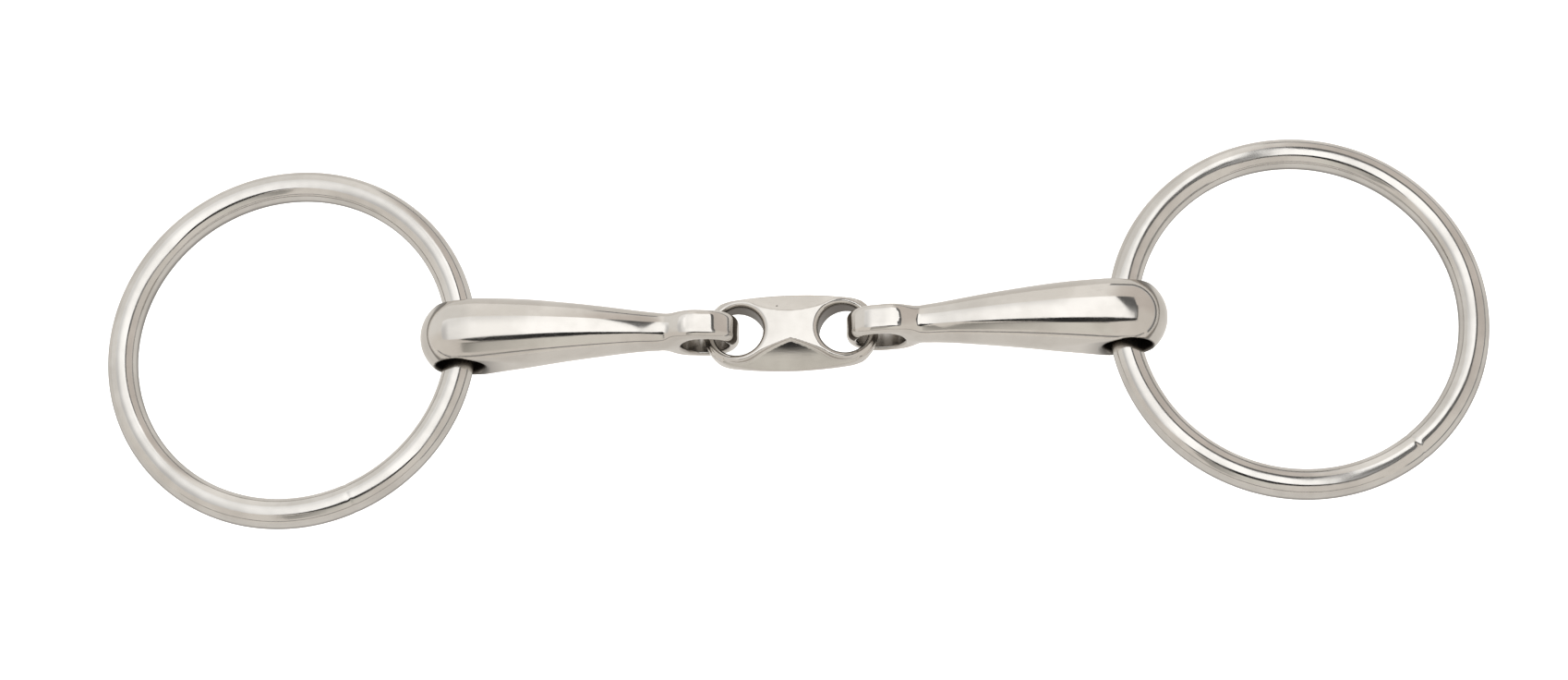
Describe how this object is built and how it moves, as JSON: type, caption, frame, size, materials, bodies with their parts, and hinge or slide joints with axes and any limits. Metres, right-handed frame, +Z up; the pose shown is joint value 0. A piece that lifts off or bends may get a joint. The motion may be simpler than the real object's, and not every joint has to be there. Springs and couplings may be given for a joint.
{
  "type": "snaffle bit",
  "caption": "Loose-ring snaffle bit: round wire rings run through bored ends of two tapered mouth arms, hinged by their eyes to an oval centre link.",
  "frame": {"origin": "on the table the bit lies on, straight below the middle of the centre link", "axes": "+X along the mouthpiece to the right ring, +Y across it in the plane of the table, +Z up"},
  "size_m": [0.2748, 0.075, 0.0165],
  "materials": {
    "polished_steel": "mirror polished stainless steel",
    "cast_steel": "cast stainless steel, ground and polished smooth"
  },
  "bodies": {
    "left_ring": {"left_ring": "polished_steel"},
    "left_mouth_arm": {"left_mouth_arm": "cast_steel"},
    "centre_link": {"centre_link": "cast_steel"},
    "right_mouth_arm": {"right_mouth_arm": "cast_steel"},
    "right_ring": {"right_ring": "polished_steel"}
  },
  "joints": [
    {"name": "left_arm_fold", "type": "hinge", "parent": "centre_link", "child": "left_mouth_arm", "pos_m": [-0.01659, 0, 0.00643], "axis": [0, 1, 0], "range_deg": [-40, 40]},
    {"name": "right_arm_fold", "type": "hinge", "parent": "centre_link", "child": "right_mouth_arm", "pos_m": [0.01729, 0, 0.00643], "axis": [0, -1, 0], "range_deg": [-40, 40]},
    {"name": "left_ring_swing", "type": "hinge", "parent": "left_mouth_arm", "child": "left_ring", "pos_m": [-0.0655, 0, 0.0074], "axis": [0, 1, 0], "range_deg": [-90, 90]},
    {"name": "right_ring_swing", "type": "hinge", "parent": "right_mouth_arm", "child": "right_ring", "pos_m": [0.0655, 0, 0.0074], "axis": [0, -1, 0], "range_deg": [-90, 90]}
  ]
}
